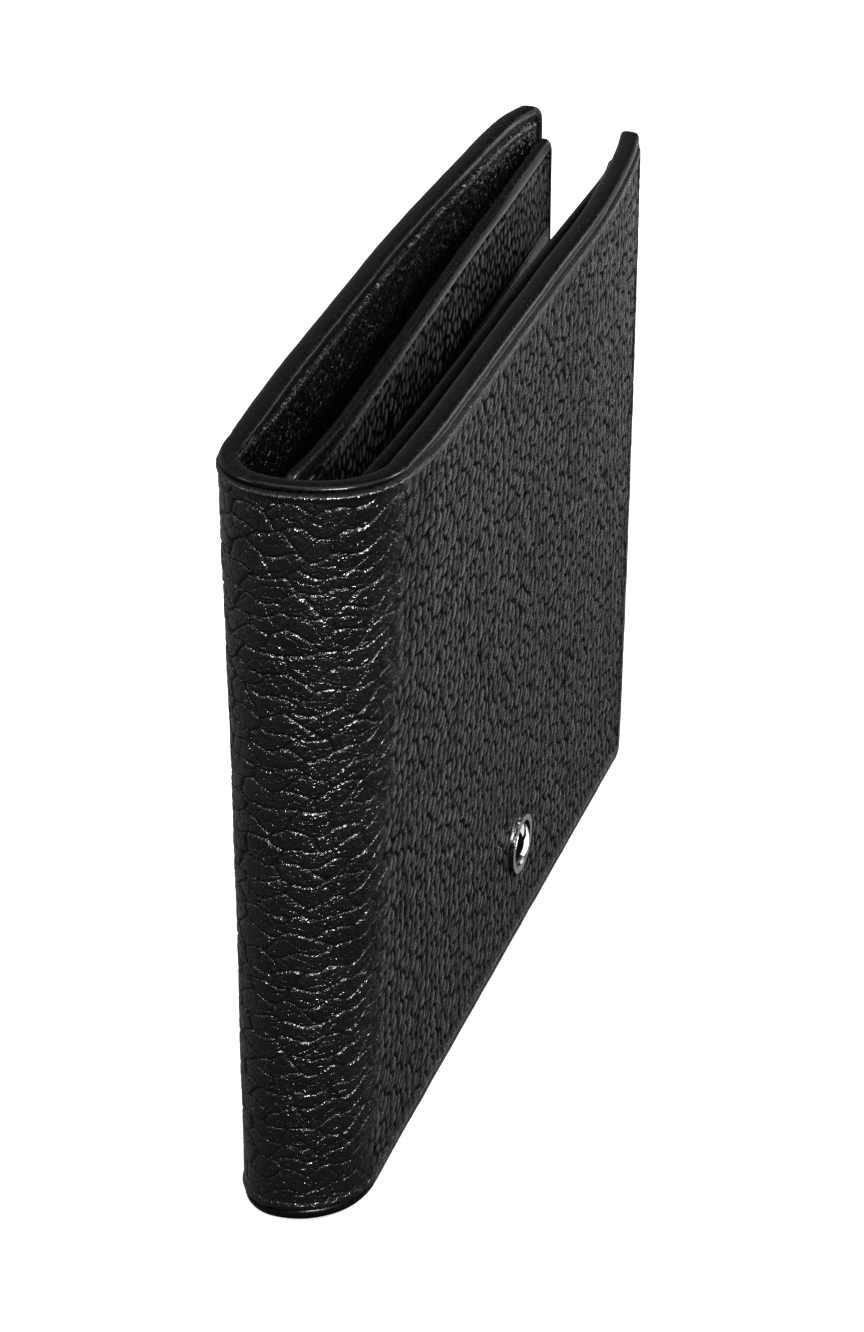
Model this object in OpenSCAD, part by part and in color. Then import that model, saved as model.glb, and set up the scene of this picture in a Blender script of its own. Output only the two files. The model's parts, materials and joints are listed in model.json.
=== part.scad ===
// Bifold wallet standing on its bottom long edge, folded and slightly sprung open.
// +X runs from the spine to the free edges, -Y is the front cover, +Y the back cover, +Z is up.
// The origin is the middle of the footprint.

/* [Wallet] */
// Closed width, from the outside of the spine to the free edges
closed_w = 116; // [112:1:124]
// Height of the covers
height = 95; // [90:1:104]
// Thickness over both covers when folded
folded_t = 18.5; // [18.5:0.5:21]
// Radius of the covers' free corners
corner_r = 3; // [2.6:0.1:5]

/* [Shell] */
// Thickness of the outer leather
leather_t = 1.2; // [1.0:0.1:1.4]
// Thickness of the stiffener board in each cover
board_t = 0.6; // [0.4:0.1:0.8]
// Thickness of the lining leather
lining_t = 0.8; // [0.6:0.1:1.0]
// Height of the smooth coated edge
edge_h = 2.4; // [1.5:0.1:2.6]
// Number of staves the spine folds in
staves = 3; // [3:1:3]
// Gap between neighbouring staves at the outer surface
stave_gap = 0.3; // [0.3:0.05:0.4]

/* [Pockets] */
// Depth of the note compartment behind the back leaf
note_gap = 5.2; // [4.8:0.1:5.3]
// Depth of the slip pocket behind the front leaf
slip_gap = 1; // [0.8:0.1:1.1]
// Distance from the cover's top edge down to the leaf's top edge
leaf_drop = 4; // [3:0.5:6]
// Distance from the spine to the near edge of a leaf
leaf_inset = 11.5; // [10.5:0.5:14]
// Angle by which both leaves lean towards the back cover, seen from above
leaf_slant = 1; // [0.5:0.1:1.2]
// Thickness of the leaf's leather
leaf_leather_t = 0.8; // [0.6:0.1:0.9]
// Thickness of the leaf's fabric lining
leaf_lining_t = 0.6; // [0.4:0.1:0.6]
// Thickness of each card slot's leather
slot_t = 0.4; // [0.3:0.05:0.4]
// Height by which each card slot steps down
slot_step = 10; // [8:1:12]
// Distance from the leaf's top edge down to the first card slot's mouth
first_slot_drop = 12; // [10:1:14]

/* [Emblem] */
// Diameter over the emblem's ring
emblem_d = 8; // [7:0.5:10]
// Height of the dome above the leather
emblem_rise = 1.4; // [1.0:0.1:1.6]
// Height of the emblem's centre above the bottom edge
emblem_z = 15.5; // [12:0.5:20]
// Distance of the emblem from the middle of the cover, towards the free edge
emblem_x = 6; // [-10:1:10]

/* [Hidden] */
$fn = 72;
// How far a cutting shape runs past what it cuts
overrun = 1;

// Places across the thickness; the fold's middle plane is pushed back by half of the emblem's rise,
// so that the origin stays in the middle of the whole footprint.
half_t = folded_t / 2;
fold_y = emblem_rise / 2;
cover_t = leather_t + board_t + lining_t;
spine_wall_t = leather_t + lining_t;

// Places along the width
spine_x = half_t - closed_w / 2;
free_x = closed_w / 2;
curl_start = 8;
curl_steps = 12;

// The fold: equal turns at staves + 1 hinges, whose axes lie just outside the outer surface
turn = 180 / (staves + 1);
half_turn = turn / 2;
gap_angle = asin(stave_gap / folded_t);
cover_arc = half_turn - gap_angle;

// Leaves and slots
leaf_x0 = leaf_inset - closed_w / 2;
leaf_x1 = free_x - 1;
leaf_z0 = 1.2;
leaf_z1 = height - leaf_drop;
leaf_w = leaf_x1 - leaf_x0;
leaf_t = leaf_lining_t + leaf_leather_t;
leaf_edge_h = 2;
leaf_edge_extra = 0.1;
hem_h = 1.2;
slots = 3;
slot_strip_h = 13;
slot_depth = 49;
slot_margin = 1.5;
slot_lining_t = 0.2;

// Stitching
thread_d = 0.5;
stitch_l = 2.2;
stitch_pitch = 3;
stitch_inset = 3;

// Emblem's hidden fixing
ring_w = 0.8;
ring_rise = 0.7;
post_r = 0.8;
post_clearance = 0.05;
washer_r = 2.6;
washer_t = 0.3;

SIDES = ["back", "front"];
COVER_PARTS = ["leather", "board", "lining", "edge"];
LEAF_PARTS = ["leather", "lining", "edge", "hem"];

// Depth of the pocket behind a side's leaf
function pocket_gap(side) = side == "back" ? note_gap : slip_gap;

// How much nearer to the cover a side's leaf is at x than at its spine end
function leaf_lean(side, x) = (side == "back" ? 1 : -1) * (x - leaf_x0) * tan(leaf_slant);

// How far the cover has bent in at x, as a parabola that starts at curl_start and meets the leaf at the
// free edge
function curl(side, x) = x < curl_start ? 0
    : (pocket_gap(side) - leaf_lean(side, free_x)) * pow((x - curl_start) / (free_x - curl_start), 2);

// Distance from the fold's middle plane to the leaf's outer face at its spine end
function leaf_y(side) = half_t - cover_t - pocket_gap(side);

// Puts a shape drawn for the back half on the named side of the fold
module on_side(side) {
    translate([0, fold_y, 0]) mirror([0, side == "front" ? 1 : 0, 0]) children();
}

// Puts a shape drawn with the leaf's outer face on y = 0 and its spine end on x = 0 on the named side
module on_leaf(side) {
    on_side(side) translate([leaf_x0, leaf_y(side), 0])
        rotate([0, 0, side == "back" ? leaf_slant : -leaf_slant]) children();
}

// The flat and bent part of a cover's layer in plan, between two depths below the outer surface
module cover_plan(side, depth0, depth1) {
    y0 = half_t - depth0;
    y1 = half_t - depth1;
    xs = [for (i = [0:curl_steps]) curl_start + (free_x - curl_start) * i / curl_steps];
    far = len(xs) - 1;
    polygon(concat(
        [[spine_x, y0]],
        [for (i = [0:far]) [xs[i], y0 - curl(side, xs[i])]],
        [for (i = [0:far]) [xs[far - i], y1 - curl(side, xs[far - i])]],
        [[spine_x, y1]]
    ));
}

// Face of a cover, inset on its three free edges, with rounded free corners
module cover_face(inset) {
    r = corner_r - inset;
    x0 = spine_x - closed_w / 2;
    x1 = free_x - inset;
    z0 = inset;
    z1 = height - inset;
    translate([x0, z0]) square([x1 - r - x0, z1 - z0]);
    translate([x0, z0 + r]) square([x1 - x0, z1 - z0 - 2 * r]);
    for (z = [z0 + r, z1 - r]) translate([x1 - r, z]) circle(r);
}

// One layer of a cover, with its spine end rolled round the fold
module cover_layer(side, depth0, depth1, inset) {
    intersection() {
        linear_extrude(height) cover_plan(side, depth0, depth1);
        rotate([90, 0, 0]) translate([0, 0, -half_t - overrun])
            linear_extrude(folded_t + 2 * overrun) cover_face(inset);
    }
    translate([spine_x, 0, inset]) rotate([0, 0, 90]) rotate_extrude(angle = cover_arc)
        translate([half_t - depth1, 0]) square([depth1 - depth0, height - 2 * inset]);
}

// Hole for the emblem's post through the front cover
module post_hole() {
    translate([emblem_x, half_t + overrun, emblem_z]) rotate([90, 0, 0])
        cylinder(r = post_r + post_clearance, h = cover_t + overrun);
}

module cover_leather(side) {
    color("#1b1b1c") on_side(side) difference() {
        cover_layer(side, 0, leather_t, edge_h);
        if (side == "front") post_hole();
    }
}

module cover_board(side) {
    color("#6b5a48") on_side(side) difference() {
        cover_layer(side, leather_t, leather_t + board_t, edge_h);
        if (side == "front") post_hole();
    }
}

module cover_lining(side) {
    color("#161616") on_side(side) difference() {
        cover_layer(side, leather_t + board_t, cover_t, edge_h);
        if (side == "front") washer_recess();
    }
}

// The smooth coat round the three free edges, as thick as the cover
module cover_edge(side) {
    color("#262626") on_side(side) difference() {
        cover_layer(side, 0, cover_t, 0);
        cover_layer(side, -overrun, cover_t + overrun, edge_h);
    }
}

// A flat sheet in the leaf's own frame, between two depths below its outer face
module sheet(x0, x1, depth0, depth1, z0, z1) {
    translate([x0, -depth1, z0]) cube([x1 - x0, depth1 - depth0, z1 - z0]);
}

module leaf_lining(side) {
    color("#202021") on_leaf(side) sheet(0, leaf_w, 0, leaf_lining_t, leaf_z0, leaf_z1 - leaf_edge_h);
}

module leaf_leather(side) {
    color("#1b1b1c") on_leaf(side) sheet(0, leaf_w, leaf_lining_t, leaf_t, leaf_z0, leaf_z1 - leaf_edge_h);
}

// The leaf's smooth turned top edge
module leaf_edge(side) {
    color("#262626") on_leaf(side)
        sheet(0, leaf_w, 0, leaf_t + leaf_edge_extra, leaf_z1 - leaf_edge_h, leaf_z1);
}

// The leaf's bottom seam allowance, turned out to the cover: it closes the pocket's floor
module leaf_hem(side) {
    xs = [for (i = [0:curl_steps]) curl_start + (leaf_x1 - curl_start) * i / curl_steps];
    color("#1b1b1c") on_side(side) translate([0, 0, leaf_z0]) linear_extrude(hem_h) polygon(concat(
        [[leaf_x1, leaf_y(side) + leaf_lean(side, leaf_x1)]],
        [[leaf_x0, leaf_y(side)], [leaf_x0, half_t - cover_t]],
        [for (x = xs) [x, half_t - cover_t - curl(side, x)]]
    ));
}

// Height of a card slot's mouth; slot 1 is the highest and lies next to the leaf
function slot_mouth(n) = leaf_z1 - first_slot_drop - (n - 1) * slot_step;

// Depth of a card slot's layer below the leaf's outer face
function slot_depth0(n) = leaf_t + (n - 1) * slot_t;

// The last slot's leather reaches down to the leaf's hem; the others are strips
module card_slot(side, n) {
    bottom = n == slots ? leaf_z0 : slot_mouth(n) - slot_strip_h;
    color("#1b1b1c") on_leaf(side) sheet(slot_margin, leaf_w - slot_margin,
        slot_depth0(n), slot_depth0(n) + slot_t, bottom, slot_mouth(n));
}

// The thin fabric tails that hang from the upper slots' strips and hold the cards
module slot_linings(side) {
    color("#2c2c2e") on_leaf(side) for (n = [1:slots - 1])
        sheet(slot_margin, leaf_w - slot_margin, slot_depth0(n), slot_depth0(n) + slot_lining_t,
            slot_mouth(n) - slot_depth, slot_mouth(n) - slot_strip_h);
}

// Half-round stitch lying on a face that looks towards the fold; upright stands it along z
module stitch(upright) {
    intersection() {
        rotate(upright ? [0, 0, 0] : [0, 90, 0])
            cylinder(d = thread_d, h = stitch_l, center = true, $fn = 16);
        translate([0, -thread_d / 2, 0]) cube([2 * stitch_l, thread_d, 2 * stitch_l], center = true);
    }
}

// Stitches through the bottom and free side of the slots and the leaf
module leaf_stitching(side) {
    row_x0 = slot_margin + stitch_inset;
    row_x1 = leaf_w - slot_margin - stitch_inset;
    row_z0 = leaf_z0 + stitch_inset;
    color("#0e0e0e") on_leaf(side) translate([0, -slot_depth0(slots + 1), 0]) {
        for (x = [row_x0:stitch_pitch:row_x1 - stitch_pitch]) translate([x, 0, row_z0]) stitch(false);
        for (z = [row_z0 + stitch_pitch:stitch_pitch:slot_mouth(slots) - stitch_pitch])
            translate([row_x1, 0, z]) stitch(true);
    }
}

// Upright bar with an annular-sector section, for stave n counted from the back cover
module stave_bar(n, r0, r1, z0, z1) {
    start = 90 + half_turn + (n - 1) * turn + gap_angle;
    translate([spine_x, fold_y, z0]) rotate([0, 0, start]) rotate_extrude(angle = turn - 2 * gap_angle)
        translate([r0, 0]) square([r1 - r0, z1 - z0]);
}

module spine_leather(n) {
    color("#1b1b1c") stave_bar(n, half_t - leather_t, half_t, edge_h, height - edge_h);
}

module spine_lining(n) {
    color("#161616") stave_bar(n, half_t - spine_wall_t, half_t - leather_t, edge_h, height - edge_h);
}

// The smooth coat on the spine's top and bottom edges
module spine_edge(n) {
    color("#262626") for (z = [0, height - edge_h])
        stave_bar(n, half_t - spine_wall_t, half_t, z, z + edge_h);
}

// Turns a shape drawn along +Z so that it points out of the front cover at the emblem's place
module at_emblem() {
    translate([emblem_x, fold_y - half_t, emblem_z]) rotate([90, 0, 0]) children();
}

// Round recess in the front lining for the washer, drawn for the back half like the lining
module washer_recess() {
    translate([emblem_x, half_t - leather_t - board_t + overrun, emblem_z]) rotate([90, 0, 0])
        cylinder(r = washer_r + post_clearance, h = washer_t + overrun);
}

module emblem_ring() {
    color("#d8d8dc") at_emblem() rotate_extrude() translate([emblem_d / 2 - ring_w, 0])
        square([ring_w, ring_rise]);
}

// Plain polished dome inside the ring
module emblem_dome() {
    base_r = emblem_d / 2 - ring_w;
    ball_r = (base_r * base_r + emblem_rise * emblem_rise) / (2 * emblem_rise);
    color("#e4e4e8") at_emblem() intersection() {
        translate([0, 0, emblem_rise - ball_r]) sphere(ball_r);
        cylinder(r = base_r, h = emblem_rise + overrun);
    }
}

module emblem_post() {
    color("#b08d57") at_emblem() translate([0, 0, -leather_t - board_t])
        cylinder(r = post_r, h = leather_t + board_t);
}

module emblem_washer() {
    color("#b08d57") at_emblem() translate([0, 0, -leather_t - board_t - washer_t])
        cylinder(r = washer_r, h = washer_t);
}

cover_leather("back");  // back_cover_leather
cover_leather("front");  // front_cover_leather
cover_board("back");  // back_cover_board
cover_board("front");  // front_cover_board
cover_lining("back");  // back_cover_lining
cover_lining("front");  // front_cover_lining
cover_edge("back");  // back_cover_edge
cover_edge("front");  // front_cover_edge
leaf_leather("back");  // back_leaf_leather
leaf_leather("front");  // front_leaf_leather
leaf_lining("back");  // back_leaf_lining
leaf_lining("front");  // front_leaf_lining
leaf_edge("back");  // back_leaf_edge
leaf_edge("front");  // front_leaf_edge
leaf_hem("back");  // back_leaf_hem
leaf_hem("front");  // front_leaf_hem
for (n = [1:slots]) card_slot("back", n);
for (n = [1:slots]) card_slot("front", n);
slot_linings("back");  // back_slot_linings
slot_linings("front");  // front_slot_linings
leaf_stitching("back");  // back_leaf_stitching
leaf_stitching("front");  // front_leaf_stitching
for (n = [1:staves]) spine_leather(n);
for (n = [1:staves]) spine_lining(n);
for (n = [1:staves]) spine_edge(n);
emblem_ring();
emblem_dome();
emblem_post();
emblem_washer();
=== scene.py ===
import json
import math

import bpy
import numpy as np
from mathutils import Matrix, Vector

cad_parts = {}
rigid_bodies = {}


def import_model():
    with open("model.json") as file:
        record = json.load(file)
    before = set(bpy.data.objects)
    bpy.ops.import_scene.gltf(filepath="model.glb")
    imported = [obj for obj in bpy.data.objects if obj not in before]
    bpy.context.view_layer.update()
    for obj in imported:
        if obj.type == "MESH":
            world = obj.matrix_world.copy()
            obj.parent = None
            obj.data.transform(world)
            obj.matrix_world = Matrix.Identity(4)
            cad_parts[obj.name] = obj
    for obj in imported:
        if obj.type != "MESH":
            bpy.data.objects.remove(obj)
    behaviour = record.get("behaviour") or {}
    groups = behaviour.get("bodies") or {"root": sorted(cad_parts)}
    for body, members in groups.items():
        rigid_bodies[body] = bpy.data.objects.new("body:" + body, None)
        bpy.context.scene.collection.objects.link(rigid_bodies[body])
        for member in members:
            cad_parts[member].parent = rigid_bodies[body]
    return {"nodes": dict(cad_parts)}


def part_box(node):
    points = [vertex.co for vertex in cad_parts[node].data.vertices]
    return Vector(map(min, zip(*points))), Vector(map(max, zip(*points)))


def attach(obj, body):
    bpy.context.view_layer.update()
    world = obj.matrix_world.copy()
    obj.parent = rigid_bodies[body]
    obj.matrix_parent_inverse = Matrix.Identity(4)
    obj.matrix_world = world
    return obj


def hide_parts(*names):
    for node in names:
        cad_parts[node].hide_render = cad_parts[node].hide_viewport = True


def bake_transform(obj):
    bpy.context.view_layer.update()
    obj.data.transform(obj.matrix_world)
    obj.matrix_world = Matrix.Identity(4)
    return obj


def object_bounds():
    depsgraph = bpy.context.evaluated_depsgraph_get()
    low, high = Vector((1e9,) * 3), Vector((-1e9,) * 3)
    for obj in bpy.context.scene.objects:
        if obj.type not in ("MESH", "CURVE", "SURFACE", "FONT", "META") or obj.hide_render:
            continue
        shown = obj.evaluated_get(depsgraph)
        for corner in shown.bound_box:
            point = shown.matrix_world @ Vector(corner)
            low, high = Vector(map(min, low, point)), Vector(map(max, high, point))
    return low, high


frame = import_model()
CAD_BOX = [list(v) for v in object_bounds()]

MM = 0.001
SEED = 7

# ---------------------------------------------------------------- sizes read from the frame, in mm
def node_box(name):
    lo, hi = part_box(name)
    return np.array(lo) * 1000, np.array(hi) * 1000


_lo_b, _hi_b = node_box("back_cover_leather")
_lo_f, _hi_f = node_box("front_cover_leather")
_lo_e, _hi_e = node_box("back_cover_edge")
_lo_s, _hi_s = node_box("spine_leather_2")
BACK_Y, FRONT_Y = _hi_b[1], _lo_f[1]
HEIGHT = _hi_e[2]
EDGE_H = _lo_b[2]
FREE_X = _hi_e[0]
RADIUS = (BACK_Y - FRONT_Y) / 2
FOLD_Y = (BACK_Y + FRONT_Y) / 2
SPINE_X = _lo_s[0] + RADIUS
ARC = RADIUS * math.pi / 2
LEN_U = ARC + FREE_X - SPINE_X
LEAF_X0 = node_box("back_leaf_leather")[0][0]
LEAF_X1 = node_box("back_leaf_edge")[1][0]
LEAF_Z0 = node_box("back_leaf_leather")[0][2]
LEAF_Z1 = node_box("back_leaf_edge")[1][2]
HEM_TOP = node_box("back_leaf_hem")[1][2]
EMBLEM_LO, EMBLEM_HI = node_box("emblem_ring")
CORNER = 2.3    # radius of a cover's outer corners
RIM_V = 1.75    # width of the coated rim
SKIN_T = 1.15   # depth down to which the outer leather reaches
PRESSED = 0.17  # how far the emblem presses the grain down

# ---------------------------------------------------------------- noise, the same on every run
def smooth(e0, e1, x):
    t = np.clip((x - e0) / (e1 - e0), 0, 1)
    return t * t * (3 - 2 * t)


def hash_cell(ix, iy, seed):
    h = (ix.astype(np.int64) * 374761393 + iy.astype(np.int64) * 668265263 + seed * 974634777) & 0xFFFFFFFF
    h = ((h ^ (h >> 13)) * 1274126177) & 0xFFFFFFFF
    h = ((h ^ (h >> 16)) * 2246822519) & 0xFFFFFFFF
    return h ^ (h >> 15)


def value_noise(x, y, seed):
    ix, iy = np.floor(x), np.floor(y)
    fx, fy = x - ix, y - iy
    fx, fy = fx * fx * (3 - 2 * fx), fy * fy * (3 - 2 * fy)
    v = [[(hash_cell(ix + i, iy + j, seed) & 0xFFFF) / 32767.5 - 1 for j in (0, 1)] for i in (0, 1)]
    a = v[0][0] * (1 - fx) + v[1][0] * fx
    b = v[0][1] * (1 - fx) + v[1][1] * fx
    return a * (1 - fy) + b * fy


def fractal(x, y, seed, octaves=3):
    total, amp = 0, 1
    for k in range(octaves):
        total = total + amp * value_noise(x * 2 ** k, y * 2 ** k, seed + k)
        amp *= 0.5
    return total


def cells(x, y, seed, jitter=0.92, brick=0.0):
    """Distance to the nearest cell border and a random number for the cell."""
    ix, iy = np.floor(x), np.floor(y)
    f1 = np.full(x.shape, 9.0)
    f2 = np.full(x.shape, 9.0)
    who = np.zeros(x.shape)
    for dx in (-1, 0, 1):
        for dy in (-1, 0, 1):
            h = hash_cell(ix + dx, iy + dy, seed)
            px = ix + dx + 0.5 + brick * ((iy + dy) % 2) + jitter * ((h & 0xFFFF) / 65535 - 0.5)
            py = iy + dy + 0.5 + jitter * (((h >> 16) & 0xFFFF) / 65535 - 0.5)
            d = np.hypot(x - px, y - py)
            near = d < f1
            f2 = np.where(near, f1, np.minimum(f2, d))
            who = np.where(near, ((h >> 7) & 0xFFF) / 4095, who)
            f1 = np.where(near, d, f1)
    return f2 - f1, who


# ---------------------------------------------------------------- leather relief, in mm above the sheet
def pebbles(u, z, wide, high, seed, warp=0.25, round_at=0.8, jitter=0.8, brick=0.5, edge=0.0):
    """Rounded grains between thin creases; with edge, how far a point is out of the crease instead."""
    x = u / wide + warp * fractal(u / 6.1, z / 5.3, seed + 11)
    y = z / high + warp * fractal(u / 5.7 + 9, z / 6.4, seed + 17)
    gap, who = cells(x, y, seed, jitter, brick)
    if edge:
        return smooth(0.04, edge, gap)
    dome = np.clip(gap / round_at, 0, 1)
    dome = np.sqrt(1 - (1 - dome) ** 2)
    return dome * (0.8 + 0.2 * who)


def relief(u, z, crest=False):
    """Pebble grain that runs on over every seam between pieces; with crest it gives the painted-shade mask instead, 0
    in a crease and 1 on a top.

    Round the spine it is wide scales whose creases rise to both sides, on the covers small leaning grains.
    """
    away = np.abs(u) - ARC + 1.8 * value_noise(u / 2.4, z / 2.0, SEED + 29)
    spine, cover = 1 - smooth(-2, 7, away), smooth(-7, 1, away)
    low = smooth(2, 14, z)
    side = np.where(u > 0, 1, -1)
    lean = np.abs(u) - 0.3 * z + 300 * side
    rise = 0.03 * np.maximum(np.abs(u) - 4, 0) ** 2
    bend = 0.3 * np.cos(u / 4.9 * 2 * math.pi + 1.5 * value_noise(u / 9, z / 9, SEED + 2)) - rise
    if crest:
        flat = pebbles(lean, z, 1.8, 2.15, SEED, 0.16, 1.0, 0.7, 0.5, 0.46)
        scales = pebbles(u, z + bend, 4.4, 2.35, SEED + 3, 0.16, 0.5, 0.65, 0.5, 0.12)
        return cover * flat + (1 - cover) * (0.5 + 0.5 * scales)
    flat = pebbles(lean, z, 1.8, 2.15, SEED, 0.16, 0.9, 0.7)
    scales = pebbles(u, z + bend, 4.4, 2.35, SEED + 3, 0.16, 0.26, 0.65)
    cracks = pebbles(u, z, 1.9, 1.5, SEED + 9, 0.4, 0.24, 0.98)
    fine = pebbles(u, z, 0.95, 0.85, SEED + 5, 0.3, 0.3, 0.98)
    fold = (0.34 * scales + 0.15 * cracks) * (0.6 + 0.4 * low) + 0.12 * (1 - low) + 0.045 * fine
    flat = 0.4 * flat + 0.03 * fine
    return np.maximum(cover * flat, spine * fold) - 0.28 + 0.07 * fractal(u / 13, z / 11, SEED + 41)


def fine_relief(u, z, crest=False):
    # with crest: the painted-shade mask of the fine grain, 0 in a crease and 1 on a top
    if crest:
        return pebbles(u, z, 1.2, 1.3, SEED + 53, 0.3, 0.8, 0.9, 0.5, 0.16)
    return 0.27 * pebbles(u, z, 1.2, 1.3, SEED + 53, 0.3, 1.0, 0.9) - 0.16


# ---------------------------------------------------------------- the shell's shape
def wall(u):
    """Thickness: leather and lining at the spine, with the board between them in the covers."""
    return 2.15 + 0.45 * smooth(ARC - 2, ARC + 8, np.abs(u))


FRONT_X = np.array([-60, -50, -45, -41, -32, -22, -10, 10, 24, 32, 45, 54, 58, 64])
FRONT_TOP = np.array([2.6, 2.9, 3.15, 3.25, 3.0, 2.65, 2.2, 1.55, 1.25, 0.85, -0.35, -1.55, -2.3, -3.6])
BACK_X = np.array([-60, -50.5, -45.6, -35, -29, -17, -5, 9, 23, 31, 40, 48, 55, 59, 61.5, 63, 66])
BACK_TOP = np.array([-1.9, -1.85, -0.9, 0.1, 0.55, 1.25, 1.95, 2.8, 3.2, 3.3, 3.45, 3.6, 3.6, 3.3, 2.8, 2.35, 1.3])


def soft_table(x, xs, ys):
    """Smooth curve through a few heights."""
    total = 0
    for shift, weight in ((-4, 0.1), (-2, 0.2), (0, 0.4), (2, 0.2), (4, 0.1)):
        total = total + weight * np.interp(x + shift, xs, ys)
    return total


def front_offset(x, s):
    return s * soft_table(x, FRONT_X, FRONT_TOP)


def back_offset(x, s):
    bottom = -4.4 + 2.4 * smooth(-52, 40, x) - 1.0 * smooth(30, 60, x)
    top = soft_table(x, BACK_X, BACK_TOP)
    return bottom + s * (top - bottom)


def offset(u, z):
    q = np.clip(z / HEIGHT, 0, 1)
    s = q ** 1.5
    x = SPINE_X + np.maximum(np.abs(u) - ARC, 0) + stretch(u, z)
    front, back = front_offset(x, s), back_offset(x, s)
    phi = np.clip(u / RADIUS, -math.pi / 2, math.pi / 2)
    nose = 0.1 + 0.6 * s
    side = np.where(u > 0, front, back)
    sway = np.sin(phi) ** 2
    return nose * (1 - sway) + side * sway


def stretch(u, z):
    """How much farther from the spine the sprung cover's free end stands than the flat one."""
    q = np.clip(z / HEIGHT, 0, 1)
    far = smooth(0, FREE_X - SPINE_X, np.abs(u) - ARC)
    return np.where(u < 0, 7.5 * (0.2 + 0.8 * q ** 2), 2.5 * q ** 2) * far


def shell(u, z, depth):
    """Point at unrolled place u, height z and depth under the outer surface."""
    u, z, depth = np.broadcast_arrays(np.asarray(u, float), np.asarray(z, float), np.asarray(depth, float))
    phi = np.clip(u / RADIUS, -math.pi / 2, math.pi / 2)
    nx, ny = -np.cos(phi), -np.sin(phi)
    ext = np.maximum(np.abs(u) - ARC, 0)
    d = RADIUS + offset(u, z) - depth
    return np.stack([SPINE_X + nx * d + ext + stretch(u, z), FOLD_Y + ny * d, z], -1)


# ---------------------------------------------------------------- mesh building
def make(name, points, faces, uvs=None, normals=None):
    mesh = bpy.data.meshes.new(name)
    points = np.asarray(points, float) * MM
    faces = np.asarray(faces)
    mesh.vertices.add(len(points))
    mesh.vertices.foreach_set("co", points.ravel())
    n = faces.shape[1]
    mesh.loops.add(faces.size)
    mesh.loops.foreach_set("vertex_index", faces.ravel().astype(np.int32))
    mesh.polygons.add(len(faces))
    mesh.polygons.foreach_set("loop_start", np.arange(0, faces.size, n, dtype=np.int32))
    mesh.polygons.foreach_set("loop_total", np.full(len(faces), n, dtype=np.int32))
    mesh.update(calc_edges=True)
    mesh.validate()
    if uvs is not None:
        layer = mesh.uv_layers.new(name="UVMap")
        layer.data.foreach_set("uv", (np.asarray(uvs, float)[faces.ravel()] * 0.01).ravel())
    mesh.polygons.foreach_set("use_smooth", np.ones(len(faces), bool))
    obj = bpy.data.objects.new(name, mesh)
    bpy.context.scene.collection.objects.link(obj)
    if normals is not None:
        mesh.normals_split_custom_set_from_vertices(np.asarray(normals, float).tolist())
    return obj


def grid_faces(nu, nz, flip=False, base=0):
    i, j = np.meshgrid(np.arange(nu - 1), np.arange(nz - 1), indexing="ij")
    a = base + i * nz + j
    quads = np.stack([a, a + nz, a + nz + 1, a + 1], -1).reshape(-1, 4)
    return quads[:, ::-1] if flip else quads


def unit(v):
    return v / np.maximum(np.linalg.norm(v, axis=-1, keepdims=True), 1e-9)


def normals_of(place, u, z, e=0.07):
    """Normals of the surface place(u, z), turned like the grid's faces."""
    du = place(u + e, z) - place(u - e, z)
    dz = place(u, z + e) - place(u, z - e)
    return unit(np.cross(du, dz))


def slab(name, us, zs, top, under, flip, tile=6, height=None):
    """Closed sheet: a detailed face top(u, z), a plain coarser face under(u, z) and the sides."""
    us, zs = np.asarray(us, float), np.asarray(zs, float)
    nu, nz = len(us), len(zs)
    gu, gz = np.meshgrid(us, zs, indexing="ij")
    face = top(gu, gz).reshape(-1, 3)
    turn = 1 if us[-1] > us[0] else -1
    normal = turn * normals_of(top, gu, gz).reshape(-1, 3)
    cu = sorted(set(list(range(0, nu - 1, tile)) + [nu - 1]))
    cz = sorted(set(list(range(0, nz - 1, tile)) + [nz - 1]))
    hu, hz = np.meshgrid(us[cu], zs[cz], indexing="ij")
    lower = under(hu, hz).reshape(-1, 3)
    lower_normal = -turn * normals_of(under, hu, hz).reshape(-1, 3)
    quads = grid_faces(nu, nz)
    base = nu * nz
    back = grid_faces(len(cu), len(cz), True, base)
    tris = [np.stack([q[:, [0, 1, 2]], q[:, [0, 2, 3]]], 1).reshape(-1, 3) for q in (quads, back)]
    side = []

    def border(fine, coarse, turn):
        for k in range(len(coarse) - 1):
            a, b = coarse[k], coarse[k + 1]
            run = fine[a[0]:b[0] + 1]
            middle = len(run) // 2
            for m in range(len(run) - 1):
                low = a[1] if m < middle else b[1]
                side.append([run[m], low, run[m + 1]] if turn else [run[m], run[m + 1], low])
            side.append([run[middle], a[1], b[1]] if turn else [run[middle], b[1], a[1]])

    nc = len(cz)
    border([i * nz for i in range(nu)], [(c, base + k * nc) for k, c in enumerate(cu)], True)
    border([i * nz + nz - 1 for i in range(nu)], [(c, base + k * nc + nc - 1) for k, c in enumerate(cu)], False)
    border(list(range(nz)), [(c, base + k) for k, c in enumerate(cz)], False)
    border([(nu - 1) * nz + j for j in range(nz)], [(c, base + (len(cu) - 1) * nc + k) for k, c in enumerate(cz)], True)
    tris = np.concatenate(tris + [np.array(side)])
    points = np.concatenate([face, lower])
    uvs = np.concatenate([np.stack([gu, gz], -1).reshape(-1, 2), np.stack([hu, hz], -1).reshape(-1, 2)])
    normal = np.concatenate([normal, lower_normal])
    if flip:
        tris, normal = tris[:, ::-1], -normal
    obj = make(name, points, tris, uvs, normal)
    # crest attribute: a painted-shade mask, low where the leather materials paint shade
    if height is not None:
        values = np.concatenate([height(gu, gz).ravel(), np.ones(hu.size)]).astype(np.float32)
        obj.data.attributes.new("crest", "FLOAT", "POINT").data.foreach_set("value", values)
    return obj


def steps(a, b, size):
    return np.linspace(a, b, max(2, int(round(abs(b - a) / size)) + 1))


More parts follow.
